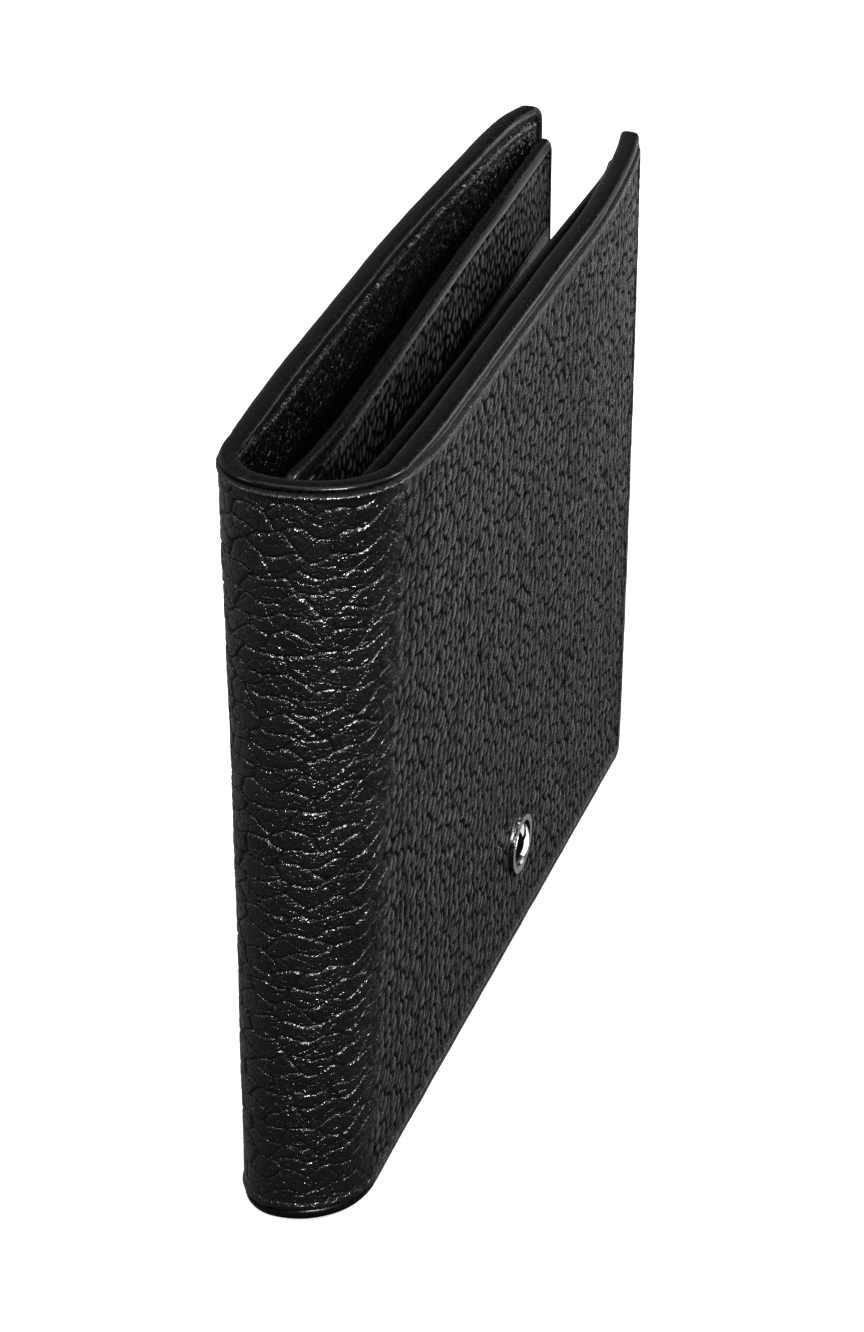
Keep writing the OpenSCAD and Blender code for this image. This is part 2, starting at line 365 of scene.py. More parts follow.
# ---------------------------------------------------------------- materials
def material(name):
    mat = bpy.data.materials.new(name)
    mat.use_nodes = True
    tree = mat.node_tree
    tree.nodes.clear()
    out = tree.nodes.new("ShaderNodeOutputMaterial")
    bsdf = tree.nodes.new("ShaderNodeBsdfPrincipled")
    tree.links.new(bsdf.outputs[0], out.inputs[0])
    return mat, tree, bsdf


def add(tree, kind, **values):
    node = tree.nodes.new(kind)
    for key, value in values.items():
        if key in node.inputs:
            node.inputs[key].default_value = value
        else:
            setattr(node, key, value)
    return node


def coordinates(tree, scale, from_uv=True):
    source = add(tree, "ShaderNodeUVMap") if from_uv else add(tree, "ShaderNodeTexCoord")
    move = add(tree, "ShaderNodeMapping")
    move.inputs["Scale"].default_value = scale
    tree.links.new(source.outputs["UV" if from_uv else "Object"], move.inputs["Vector"])
    return move.outputs[0]


def ramp(tree, source, stops):
    node = add(tree, "ShaderNodeValToRGB")
    ends = node.color_ramp.elements
    while len(ends) < len(stops):
        ends.new(0.5)
    for end, (at, value) in zip(ends, stops):
        end.position = at
        end.color = (*value, 1) if hasattr(value, "__len__") else (value, value, value, 1)
    tree.links.new(source, node.inputs[0])
    return node.outputs[0]


def mapped(tree, source, low, high):
    node = add(tree, "ShaderNodeMapRange")
    node.inputs["To Min"].default_value = low
    node.inputs["To Max"].default_value = high
    tree.links.new(source, node.inputs["Value"])
    return node.outputs[0]


def bumped(tree, bsdf, heights):
    """Chains bumps of (height output, distance in m, strength)."""
    last = None
    for source, distance, strength in heights:
        node = add(tree, "ShaderNodeBump")
        node.inputs["Distance"].default_value = distance
        node.inputs["Strength"].default_value = strength
        tree.links.new(source, node.inputs["Height"])
        if last is not None:
            tree.links.new(last, node.inputs["Normal"])
        last = node.outputs[0]
    tree.links.new(last, bsdf.inputs["Normal"])


def leather(name, base, rough, grain=1.0, cell=0.42, shaded_creases=True, gloss=0.5):
    """Black leather: fine cells in the grain; painted shade makes the creases darker and less specular, the creases a
    little duller and the tops a little smoother.
    """
    crease = 0.5
    mat, tree, bsdf = material(name)
    place = coordinates(tree, (100, 100, 100))
    small = add(tree, "ShaderNodeTexVoronoi", feature="DISTANCE_TO_EDGE")
    small.inputs["Scale"].default_value = 1 / cell
    small.inputs["Randomness"].default_value = 1.0
    tree.links.new(place, small.inputs["Vector"])
    pores = add(tree, "ShaderNodeTexNoise")
    pores.inputs["Scale"].default_value = 5.5
    pores.inputs["Detail"].default_value = 4
    pores.inputs["Roughness"].default_value = 0.6
    tree.links.new(place, pores.inputs["Vector"])
    cloud = add(tree, "ShaderNodeTexNoise")
    cloud.inputs["Scale"].default_value = 0.16
    cloud.inputs["Detail"].default_value = 3
    tree.links.new(place, cloud.inputs["Vector"])
    edge = ramp(tree, small.outputs["Distance"], [(0.0, 0.0), (0.12, 0.75), (0.4, 1.0)])
    thin = add(tree, "ShaderNodeTexVoronoi", feature="DISTANCE_TO_EDGE")
    thin.inputs["Scale"].default_value = 0.9
    tree.links.new(place, thin.inputs["Vector"])
    line = ramp(tree, thin.outputs["Distance"], [(0.0, 0.0), (0.07, 0.9), (0.2, 1.0)])
    low, high = [c * 0.72 for c in base], [min(1, c * 1.25) for c in base]
    colour = ramp(tree, cloud.outputs[0], [(0.3, low), (0.7, high)])
    dull = mapped(tree, pores.outputs[0], rough - 0.07, rough + 0.13)
    # painted shade: where crest is low, in creases and deep inside, the colour is darkened and the specular level
    # lowered
    if shaded_creases:
        crest = add(tree, "ShaderNodeAttribute", attribute_name="crest")
        dark = ramp(tree, crest.outputs["Fac"], [(0.15, 0.12), (0.75, 1.0)])
        mix = add(tree, "ShaderNodeMix", data_type="RGBA", blend_type="MULTIPLY")
        mix.inputs["Factor"].default_value = 1.0
        tree.links.new(colour, mix.inputs["A"])
        tree.links.new(dark, mix.inputs["B"])
        colour = mix.outputs["Result"]
        shine = mapped(tree, crest.outputs["Fac"], 0.0, gloss)
        tree.links.new(shine, bsdf.inputs["Specular IOR Level"])
        low_spots = ramp(tree, crest.outputs["Fac"], [(0.1, 0.42), (0.7, 0.0)])
        total = add(tree, "ShaderNodeMath", operation="ADD")
        tree.links.new(dull, total.inputs[0])
        tree.links.new(low_spots, total.inputs[1])
        dull = total.outputs[0]
    tree.links.new(colour, bsdf.inputs["Base Color"])
    tree.links.new(dull, bsdf.inputs["Roughness"])
    bumped(tree, bsdf, [(line, 0.00006 * grain, 0.6), (edge, 0.00006 * grain, crease),
                        (pores.outputs[0], 0.00004 * grain, 0.5)])
    bsdf.inputs["Specular IOR Level"].default_value = 0.5
    bsdf.inputs["IOR"].default_value = 1.48
    if gloss > 0.5:
        bsdf.inputs["Coat Weight"].default_value = 0.1
        bsdf.inputs["Coat Roughness"].default_value = 0.14
    return mat


GRAIN = leather("grain_leather", (0.0024, 0.0024, 0.0025), 0.24)
LINING = leather("lining_leather", (0.0008, 0.0008, 0.0008), 0.12, 1.3, 0.36, True, 0.51)
SLOT_LEATHER = leather("slot_leather", (0.0014, 0.0014, 0.0014), 0.26, 0.8, 0.4, True, 0.34)
PLAIN_LEATHER = leather("hem_leather", (0.004, 0.004, 0.004), 0.4, 1.0, 0.4, False)


def edge_coat():
    mat, tree, bsdf = material("edge_coat")
    place = coordinates(tree, (100, 100, 100))
    noise = add(tree, "ShaderNodeTexNoise")
    noise.inputs["Scale"].default_value = 1.6
    noise.inputs["Detail"].default_value = 5
    tree.links.new(place, noise.inputs["Vector"])
    speck = add(tree, "ShaderNodeTexVoronoi")
    speck.inputs["Scale"].default_value = 2.6
    tree.links.new(place, speck.inputs["Vector"])
    colour = ramp(tree, noise.outputs[0], [(0.3, (0.0007, 0.0007, 0.0007)), (0.75, (0.0018, 0.0018, 0.0018))])
    tree.links.new(colour, bsdf.inputs["Base Color"])
    tree.links.new(mapped(tree, noise.outputs[0], 0.17, 0.34), bsdf.inputs["Roughness"])
    bsdf.inputs["Specular IOR Level"].default_value = 0.17
    bumped(tree, bsdf, [(noise.outputs[0], 0.00005, 0.6), (speck.outputs["Distance"], 0.00002, 0.35)])
    return mat


def fabric():
    mat, tree, bsdf = material("fabric_lining")
    place = coordinates(tree, (100, 100, 100))
    turned = add(tree, "ShaderNodeMapping")
    turned.inputs["Rotation"].default_value = (0, 0, math.radians(58))
    tree.links.new(place, turned.inputs["Vector"])
    twill = add(tree, "ShaderNodeTexWave", bands_direction="X")
    twill.inputs["Scale"].default_value = 0.75
    twill.inputs["Distortion"].default_value = 0.5
    twill.inputs["Detail"].default_value = 2
    tree.links.new(turned.outputs[0], twill.inputs["Vector"])
    warp = add(tree, "ShaderNodeTexWave", bands_direction="X")
    warp.inputs["Scale"].default_value = 1.3
    tree.links.new(place, warp.inputs["Vector"])
    colour = ramp(tree, twill.outputs[0], [(0.2, (0.008, 0.008, 0.009)), (0.8, (0.026, 0.026, 0.028))])
    tree.links.new(colour, bsdf.inputs["Base Color"])
    bsdf.inputs["Roughness"].default_value = 0.78
    bsdf.inputs["Sheen Weight"].default_value = 0.25
    bumped(tree, bsdf, [(twill.outputs[0], 0.00012, 0.7), (warp.outputs[0], 0.00006, 0.5)])
    return mat


def thread():
    mat, tree, bsdf = material("thread")
    place = coordinates(tree, (100, 100, 100))
    turned = add(tree, "ShaderNodeMapping")
    turned.inputs["Rotation"].default_value = (0, 0, math.radians(35))
    tree.links.new(place, turned.inputs["Vector"])
    ply = add(tree, "ShaderNodeTexWave", bands_direction="X")
    ply.inputs["Scale"].default_value = 1.1
    tree.links.new(turned.outputs[0], ply.inputs["Vector"])
    colour = ramp(tree, ply.outputs[0], [(0.2, (0.010, 0.010, 0.011)), (0.8, (0.030, 0.030, 0.032))])
    tree.links.new(colour, bsdf.inputs["Base Color"])
    bsdf.inputs["Roughness"].default_value = 0.5
    bumped(tree, bsdf, [(ply.outputs[0], 0.00008, 0.8)])
    return mat


def board():
    mat, tree, bsdf = material("stiffener_board")
    place = coordinates(tree, (100, 100, 100))
    fibre = add(tree, "ShaderNodeTexNoise")
    fibre.inputs["Scale"].default_value = 2.5
    fibre.inputs["Detail"].default_value = 6
    tree.links.new(place, fibre.inputs["Vector"])
    colour = ramp(tree, fibre.outputs[0], [(0.3, (0.20, 0.15, 0.11)), (0.7, (0.33, 0.26, 0.19))])
    tree.links.new(colour, bsdf.inputs["Base Color"])
    bsdf.inputs["Roughness"].default_value = 0.85
    bumped(tree, bsdf, [(fibre.outputs[0], 0.00006, 0.6)])
    return mat


def metal(name, low, high, rough0, rough1, scale=900):
    mat, tree, bsdf = material(name)
    place = coordinates(tree, (1, 1, 1), False)
    noise = add(tree, "ShaderNodeTexNoise")
    noise.inputs["Scale"].default_value = scale
    noise.inputs["Detail"].default_value = 3
    tree.links.new(place, noise.inputs["Vector"])
    tree.links.new(ramp(tree, noise.outputs[0], [(0.3, low), (0.7, high)]), bsdf.inputs["Base Color"])
    bsdf.inputs["Metallic"].default_value = 1
    tree.links.new(mapped(tree, noise.outputs[0], rough0, rough1), bsdf.inputs["Roughness"])
    bumped(tree, bsdf, [(noise.outputs[0], 0.000004, 0.2)])
    return mat


EDGE = edge_coat()
FABRIC = fabric()
THREAD = thread()
BOARD = board()
CHROME = metal("polished_metal", (0.74, 0.74, 0.76), (0.82, 0.82, 0.84), 0.03, 0.08)
DARK_CHROME = metal("polished_dome", (0.24, 0.24, 0.25), (0.32, 0.32, 0.33), 0.02, 0.05)
BRASS = metal("rivet_brass", (0.60, 0.46, 0.27), (0.70, 0.56, 0.35), 0.28, 0.42, 500)


def finish(obj, mat, slot, *nodes):
    obj.data.materials.clear()
    obj.data.materials.append(mat)
    if nodes:
        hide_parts(*nodes)
    return obj


for node_name, mat in (("emblem_ring", CHROME), ("emblem_dome", DARK_CHROME),
                       ("emblem_post", BRASS), ("emblem_washer", BRASS)):
    node_obj = frame["nodes"][node_name]
    node_obj.data.materials.clear()
    node_obj.data.materials.append(mat)

# ---------------------------------------------------------------- the shell's pieces
def edge_rows(z0, z1, size):
    """Places along a side, closer together near the rim's crease at both ends."""
    near = np.array([0, 0.10, 0.20, 0.32, 0.45, 0.6, 0.78, 1.0, 1.25])
    return np.concatenate([z0 + near[:-1], steps(z0 + near[-1], z1 - near[-1], size), (z1 - near[:-1])[::-1]])


ZS = edge_rows(RIM_V, HEIGHT - RIM_V, 0.26)
SPINE_ZS = edge_rows(RIM_V, HEIGHT - RIM_V, 0.15)


def rim_share(u, z):
    """The rim is narrower round the spine than along the covers, most of all at the top."""
    narrow = np.where(z > HEIGHT / 2, 0.38, 0.8)
    return narrow + (1 - narrow) * smooth(ARC - 3, ARC + 12, np.abs(u))


def lifted(u, z):
    """Height of a skin's row: near the rim the rows follow its narrower part."""
    v = np.minimum(z, HEIGHT - z) - RIM_V
    move = RIM_V * (1 - rim_share(u, z)) * (1 - smooth(0, 8, v))
    return z + np.where(z > HEIGHT / 2, move, -move)


def border_drop(u, z, v):
    """How deep the leather lies at a distance v from the edge: a crease beside the rim, then a low ridge."""
    w = v - RIM_V
    bent = (1 - rim_share(u, z)) / 0.62
    crease = 0.55 * (1 - smooth(0.0, 0.36, w))
    ridge = (0.22 + 0.10 * bent) * smooth(0.1, 0.45, w) * (1 - smooth(1.0 - 0.5 * bent, 1.55 - 0.5 * bent, w))
    return crease - ridge


def edge_distance(u, z):
    v = np.minimum(z, HEIGHT - z)
    return np.minimum(v, LEN_U - np.abs(u))


def seat(u, z):
    """1 on free leather, falling to 0 where the emblem presses the front cover's grain flat."""
    x = SPINE_X + np.maximum(u - ARC, 0) + stretch(u, z)
    out = np.hypot(x - (EMBLEM_LO[0] + EMBLEM_HI[0]) / 2, z - (EMBLEM_LO[2] + EMBLEM_HI[2]) / 2)
    return np.where(u > ARC, smooth(4.05, 5.2, out), 1.0)


def outer_face(u, z):
    v = edge_distance(u, z)
    start = 0.5 * rim_share(u, z)
    free = seat(u, z)
    grain = relief(u, z) * smooth(RIM_V + start, RIM_V + start + 1.1, v)
    grain = grain * free - PRESSED * (1 - free)
    along = np.where(LEN_U - np.abs(u) < np.minimum(z, HEIGHT - z), z, u)
    strip = smooth(0.15, 0.4, v - RIM_V) * (1 - smooth(0.9, 1.5, v - RIM_V))
    teeth = 0.035 * strip * value_noise(along / 0.75, v / 2.0, SEED + 61)
    return shell(u, lifted(u, z), border_drop(u, z, v) - grain - teeth - 0.05)


# painted shade mask for the outer leather: dark in the grain's creases, in the crease beside the rim, and darker round
# the emblem's foot
def outer_crest_shade(u, z):
    v = edge_distance(u, z)
    grain = smooth(RIM_V + 0.7, RIM_V + 1.7, v)
    return (relief(u, z, True) * grain + 1 - grain) * smooth(RIM_V, RIM_V + 0.5, v) * (0.3 + 0.7 * seat(u, z))


# painted shade mask for the lining: dark in the grain's creases and nearly black below z 80 to 93.5, painted shade deep
# inside the wallet
def inner_crest_shade(u, z):
    return fine_relief(u, z, True) * (0.04 + 0.96 * smooth(80, 93.5, z))


def inner_drop(v):
    crease = 0.45 * (1 - smooth(0.0, 0.4, v - RIM_V))
    ridge = 0.10 * np.exp(-(((v - RIM_V - 0.8) / 0.28) ** 2))
    return crease - ridge


def inner_face(u, z):
    v = edge_distance(u, z)
    grain = fine_relief(u, z) * smooth(RIM_V + 0.8, RIM_V + 1.6, v)
    return shell(u, lifted(u, z), wall(u) - inner_drop(v) + grain)


def middle_face(depth):
    return lambda u, z: shell(u, z, depth + 0 * u)


def rim_ring(thick):
    half = [(2.10, 0.62), (1.92, 0.42), (1.75, 0.25), (1.58, 0.11), (1.38, 0.03), (1.1, -0.02), (0.78, -0.01),
            (0.48, 0.06), (0.25, 0.19), (0.10, 0.40), (0.03, 0.70), (0.0, 1.05)]
    scale = thick / 2
    outer = [(v, d if d < 0.4 else d * min(1.0, scale / 1.15)) for v, d in half]
    return outer + [(v, thick - d) for v, d in outer[::-1]]


def tube(name, path, ring_at, place, uv_at):
    """Closed band along path; its normals run on where the next band begins."""
    before = tuple(2 * np.array(path[0]) - np.array(path[1]))
    after = tuple(2 * np.array(path[-1]) - np.array(path[-2]))
    path = [before] + list(path) + [after]
    rows, uvs = [], []
    for step in path:
        ring = ring_at(step)
        rows.append(place(step, ring))
        uvs.append(uv_at(step, ring))
    rows, uvs = np.array(rows), np.array(uvs)
    along = rows[2:] - rows[:-2]
    rows, uvs = rows[1:-1], uvs[1:-1]
    across = np.roll(rows, -1, 1) - np.roll(rows, 1, 1)
    normal = unit(np.cross(along, across))
    n, m = rows.shape[:2]
    centre = rows.mean(1, keepdims=True)
    if np.einsum("ijk,ijk->", normal, rows - centre) < 0:
        normal = -normal
    pts = np.concatenate([rows.reshape(-1, 3), centre[0], centre[-1]])
    uvs = np.concatenate([uvs.reshape(-1, 2), uvs[0].mean(0)[None], uvs[-1].mean(0)[None]])
    normal = np.concatenate([normal.reshape(-1, 3), [-unit(along[0].mean(0))], [unit(along[-1].mean(0))]])
    i, j = np.meshgrid(np.arange(n - 1), np.arange(m), indexing="ij")
    a, b = i * m + j, i * m + (j + 1) % m
    quads = np.stack([a, b, b + m, a + m], -1).reshape(-1, 4)
    tris = np.stack([quads[:, [0, 1, 2]], quads[:, [0, 2, 3]]], 1).reshape(-1, 3)
    k = np.arange(m)
    first = np.stack([np.full(m, n * m), (k + 1) % m, k], -1)
    last = np.stack([np.full(m, n * m + 1), (n - 1) * m + k, (n - 1) * m + (k + 1) % m], -1)
    tris = outward(pts, np.concatenate([tris, first, last]))
    return make(name, pts, tris, uvs, normal)


def rim(name, path):
    def ring_at(step):
        ring = np.array(rim_ring(float(wall(np.array(step[0])))))
        ring[:, 0] *= float(rim_share(np.array(step[0]), step[1])) if step[2] == 0 else 1.0
        return ring

    def place(step, ring):
        u, z, nu, nz = step
        row = 0.3 if nz else 7.3
        wobble = 0.03 * fractal(np.full(len(ring), (u + z) / 4.0), np.full(len(ring), row), SEED + 71)
        return shell(u + nu * ring[:, 0], z + nz * ring[:, 0], ring[:, 1] + wobble)

    def uv_at(step, ring):
        around = np.concatenate([[0], np.cumsum(np.hypot(np.diff(ring[:, 0]), np.diff(ring[:, 1])))])
        apart = 40 if step[1] > HEIGHT / 2 else 0
        return np.stack([np.full(len(ring), step[0] - step[1] * abs(step[2])), around + apart], -1)

    return tube(name, path, ring_at, place, uv_at)


def outward(pts, tris):
    """Turns closed faces outwards by the sign of their volume."""
    a, b, c = pts[tris[:, 0]], pts[tris[:, 1]], pts[tris[:, 2]]
    return tris if np.einsum("ij,ij->", a, np.cross(b, c)) > 0 else tris[:, ::-1]


def straight(u0, u1, z, inward, size=0.3):
    return [(u, z, 0.0, inward) for u in steps(u0, u1, size)]


def cover_path(sign):
    """Round a cover's free edges, from the spine along the top, down the free edge and back along the bottom."""
    end, top = LEN_U * sign, HEIGHT
    r = CORNER
    path = [(u, top, 0.0, -1.0) for u in steps(sign * ARC, end - sign * r, 0.4)]
    for k in range(1, 12):
        a = math.radians(90 * k / 12)
        path.append((end - sign * r + sign * r * math.sin(a), top - r + r * math.cos(a),
                     -sign * math.sin(a), -math.cos(a)))
    path += [(end, z, -float(sign), 0.0) for z in steps(top - r, r, 0.4)]
    for k in range(1, 12):
        a = math.radians(90 * k / 12)
        path.append((end - sign * r + sign * r * math.cos(a), r - r * math.sin(a),
                     -sign * math.cos(a), math.sin(a)))
    path += [(u, 0.0, 0.0, 1.0) for u in steps(end - sign * r, sign * ARC, 0.4)]
    return path


QUARTER = ARC / 2


def blend_ends(k):
    """Start and end of strip k at mid-height on its outer face, each pulled 1.15 mm in towards the other, in metres."""
    z = HEIGHT / 2
    a = shell(-ARC + k * QUARTER, z, 0.0)
    b = shell(-ARC + (k + 1) * QUARTER, z, 0.0)
    d = unit(b - a)
    pull = 1.15
    return tuple((a + d * pull) * MM), tuple((b - d * pull) * MM)


for k in range(4):
    u0, u1 = -ARC + k * QUARTER, -ARC + (k + 1) * QUARTER
    us = steps(u0, u1, 0.15)
    start, end = blend_ends(k)
    number = k + 1
    stave = min(number, 3)
    piece = slab(f"spine_skin_{number}", us, SPINE_ZS, outer_face, middle_face(SKIN_T), True, 6, outer_crest_shade)
    finish(piece, GRAIN, "grain_leather", f"spine_leather_{stave}")
    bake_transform(piece)
    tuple(start)
    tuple(end)
    inner_us = steps(u0, u1, 0.3)
    piece = slab(f"spine_inside_{number}", inner_us, ZS, inner_face, middle_face(1.25), False, 6, inner_crest_shade)
    finish(piece, LINING, "lining_leather", f"spine_lining_{stave}")
    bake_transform(piece)
    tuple(start)
    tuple(end)
    for where, z, inward in (("top", HEIGHT, -1.0), ("bottom", 0.0, 1.0)):
        piece = rim(f"spine_rim_{where}_{number}", straight(u0, u1, z, inward, 0.2))
        finish(piece, EDGE, "edge_coat", f"spine_edge_{stave}")
        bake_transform(piece)
        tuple(start)
        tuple(end)

for side, sign in (("back", -1), ("front", 1)):
    body = f"{side}_half"
    far = sign * (LEN_U - RIM_V)
    near = sign * ARC
    flip = sign > 0
    half_way = (near + far) / 2
    last = far - sign * np.array([1.15, 0.9, 0.7, 0.5, 0.34, 0.2, 0.1, 0])
    for part, us in (("near", steps(near, half_way, 0.2)),
                     ("far", np.concatenate([steps(half_way, far - sign * 1.4, 0.2), last]))):
        piece = slab(f"{side}_cover_skin_{part}", us, ZS, outer_face, middle_face(SKIN_T), flip, 6, outer_crest_shade)
        finish(piece, GRAIN, "grain_leather", f"{side}_cover_leather")
        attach(piece, body)
    inner = np.concatenate([steps(near, far - sign * 1.4, 0.25 if side == "back" else 0.4),
                            far - sign * np.array([1.0, 0.7, 0.45, 0.25, 0.1, 0])])
    rows = edge_rows(RIM_V, HEIGHT - RIM_V, 0.21)
    rows = np.concatenate([rows[:9], steps(rows[9], 68, 0.8)[:-1], rows[rows >= 68]])
    piece = slab(f"{side}_cover_inside", inner, rows, inner_face, middle_face(1.85), not flip, 6, inner_crest_shade)
    finish(piece, LINING, "lining_leather", f"{side}_cover_lining")
    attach(piece, body)
    plain = steps(sign * (ARC + 4.2), sign * (LEN_U - 3), 2.0)
    piece = slab(f"{side}_cover_stiffener", plain, steps(3, HEIGHT - 3, 2.0), middle_face(1.2), middle_face(1.8),
                 flip, 1)
    finish(piece, BOARD, "stiffener_board", f"{side}_cover_board")
    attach(piece, body)
    piece = rim(f"{side}_cover_rim", cover_path(sign))
    finish(piece, EDGE, "edge_coat", f"{side}_cover_edge")
    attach(piece, body)

# ---------------------------------------------------------------- the leaves
def cover_inside_y(side, x, z):
    """Y of the cover's inner face at the true place x."""
    sign = 1 if side == "front" else -1
    flat = x
    for _ in range(4):
        flat = x - stretch(sign * (ARC + flat - SPINE_X), z)
    u = sign * (ARC + np.clip(flat, SPINE_X, FREE_X) - SPINE_X)
    return shell(u, z, wall(u) + 0.10)[..., 1]


LEAF_BACK_X = np.array([-60, -47, -43, -35, -28, -10, 16, 28, 37, 47, 60, 66])
LEAF_BACK_TOP = np.array([3.2, 2.7, 2.45, 2.45, 2.9, 4.1, 6.0, 6.8, 7.25, 7.9, 8.8, 9.1])
LEAF_FRONT_X = np.array([-60, -44, -37, -26, 17, 55, 66])
LEAF_FRONT_TOP = np.array([-5.8, -6.0, -6.15, -6.05, -4.85, -4.3, -4.2])


def leaf_face_y(side, x, z):
    """Y of the leaf's face towards its cover; x is already stretched."""
    q = np.clip(z / LEAF_Z1, 0, 1.05) ** 1.25
    t = np.clip((x - LEAF_X0) / (LEAF_X1 - LEAF_X0), 0, 1)
    if side == "back":
        bottom, top = 2.1 + 2.6 * t, soft_table(x, LEAF_BACK_X, LEAF_BACK_TOP)
        y = bottom + q * (top - bottom)
        limit = cover_inside_y(side, x, z) - 0.12
        return -np.logaddexp(-y * 5, -limit * 5) / 5
    bottom, top = -5.4 + 1.2 * t, soft_table(x, LEAF_FRONT_X, LEAF_FRONT_TOP)
    y = bottom + q * (top - bottom)
    limit = cover_inside_y(side, x, z) + 0.12
    return np.logaddexp(y * 5, limit * 5) / 5


def leaf_point(side, x, z, depth):
    """Point at a depth from the leaf's face towards its cover, counted towards the fold."""
    sign = 1 if side == "back" else -1
    x, z = np.broadcast_arrays(np.asarray(x, float), np.asarray(z, float))
    true_x = x + stretch(-sign * (ARC + (x - SPINE_X)), z)
    y = leaf_face_y(side, true_x, z) - sign * depth
    return np.stack([true_x, y, z], -1)


LEAF_T = 1.25  # leather and lining of a leaf together
BAND = 2.0     # width of a leaf's turned edge


def leaf_grain(x, z):
    return 0.22 * pebbles(x + 300, z, 1.5, 1.9, SEED + 83, 0.25, 0.95, 0.9) - 0.15


# painted shade mask for the leaves: dark in the grain's creases and darker below z 72 to 90, painted shade between the
# leaves
def leaf_crest_shade(x, z):
    tops = pebbles(x + 300, z, 1.5, 1.9, SEED + 83, 0.25, 0.95, 0.9, 0.5, 0.4)
    return tops * (0.3 + 0.7 * smooth(72, 90, z))


def leaf_front(side, x0, x1, z0, z1, depth):
    """Grained face of the leaf that looks to the fold, falling off to a crease at its own four sides."""
    def place(x, z):
        v = np.minimum(np.minimum(x - x0, x1 - x), np.minimum(z - z0, z1 - z))
        roll = 0.28 * (1 - smooth(0, 0.35, v))
        ridge = 0.10 * smooth(0.1, 0.4, v) * (1 - smooth(0.9, 1.3, v))
        grain = leaf_grain(x, z) * smooth(1.0, 1.9, v)
        return leaf_point(side, x, z, depth - roll + ridge + grain)
    return place


def leaf_sheet(side, depth):
    return lambda x, z: leaf_point(side, x, z, depth + 0 * x)


def leaf_band(name, side, x0, x1, z0, z1, t0, t1):
    """Smooth turned edge of the leaf along its top, round its corner and down its free side."""
    r, q = 2.2, 3.5
    path = [(x0, z, 1.0, 0.0) for z in steps(z1 - 14, z1 - q, 0.5)]
    for k in range(1, 10):
        a = math.radians(9 * k)
        path.append((x0 + q - q * math.cos(a), z1 - q + q * math.sin(a), math.cos(a), -math.sin(a)))
    path += [(x, z1, 0.0, -1.0) for x in steps(x0 + q, x1 - r, 0.5)]
    for k in range(1, 10):
        a = math.radians(9 * k)
        path.append((x1 - r + r * math.sin(a), z1 - r + r * math.cos(a), -math.sin(a), -math.cos(a)))
    path += [(x1, z, -1.0, 0.0) for z in steps(z1 - r, z0, 0.5)]
    middle, half = (t0 + t1) / 2, (t1 - t0) / 2

    def ring_at(step):
        wide = BAND * (0.62 + 0.38 * abs(step[3]))
        side_a = [(wide + 0.02, half - 0.14), (wide - 0.12, half - 0.03), (wide * 0.6, half + 0.03)]
        turn = [(half * 0.9 * (1 - math.sin(math.pi * k / 10)), half * math.cos(math.pi * k / 10))
                for k in range(11)]
        return np.array(side_a + turn + [(v, -d) for v, d in side_a[::-1]])

    def place(step, ring):
        x, z, nx, nz = step
        return leaf_point(side, x + nx * ring[:, 0], z + nz * ring[:, 0], middle - ring[:, 1])

    def uv_at(step, ring):
        around = np.concatenate([[0], np.cumsum(np.hypot(np.diff(ring[:, 0]), np.diff(ring[:, 1])))])
        return np.stack([np.full(len(ring), step[0] - step[1]), around], -1)

    return tube(name, path, ring_at, place, uv_at)


def stack(n, x, z, x0, x1):
    """Depth at which slot n lies: pressed down by the stitches, and lower where fewer layers lie under it."""
    under = 0.06 + 0.5 * smooth(17, 22, z) + 0.44 * smooth(44, 54, z)
    v = np.minimum(np.minimum(x - x0, x1 - x), z - LEAF_Z0)
    return LEAF_T + 0.03 + (n - 1) * 0.42 * (under + (1 - under) * smooth(0.8, 7, v))


def slot_sheet(side, n, x0, x1, depth=0.0):
    return lambda x, z: leaf_point(side, x, z, stack(n, x, z, x0, x1) + depth)


def slot_face(side, n, x0, x1, z0, z1):
    """Card slot's face: fine grain, a smooth turned mouth with a crease line, and a slight swell over a card."""
    def place(x, z):
        depth = stack(n, x, z, x0, x1) + 0.42
        v = np.minimum(x - x0, x1 - x)
        top = z1 - z
        roll = 0.17 * (1 - smooth(0, 0.3, np.minimum(v, top)))
        line = 0.07 * np.exp(-(((top - 1.5) / 0.16) ** 2))
        grain = 0.5 * leaf_grain(x + 37 * n, z) * smooth(1.5, 2.2, top) * smooth(0.3, 1.2, v)
        swell = 0.16 * smooth(2, 16, v) * smooth(0, 10, z - z0) * (1 - 0.35 * smooth(3, 0, top))
        return leaf_point(side, x, z, depth - roll - line + grain + swell)
    return place


def spindle(centre, along, out, side_dir, length, width, height):
    """One raised stitch: a thin lens with pointed ends dipping into the leather."""
    n, m = 9, 8
    pts = []
    for i in range(n):
        t = i / (n - 1) * 2 - 1
        r = math.sqrt(max(0, 1 - abs(t) ** 2.6))
        r = max(r, 0.05)
        for j in range(m):
            a = 2 * math.pi * j / m
            pts.append(centre + along * (t * length / 2) + side_dir * (math.cos(a) * width / 2 * r)
                       + out * (math.sin(a) * height * r - 0.1 * t * t))
    pts.append(centre + along * (-length / 2) - out * 0.1)
    pts.append(centre + along * (length / 2) - out * 0.1)
    tris = []
    for i in range(n - 1):
        for j in range(m):
            a, b = i * m + j, i * m + (j + 1) % m
            tris += [[a, b, b + m], [a, b + m, a + m]]
    for j in range(m):
        tris.append([n * m, (j + 1) % m, j])
        tris.append([n * m + 1, (n - 1) * m + j, (n - 1) * m + (j + 1) % m])
    return np.array(pts), np.array(tris)


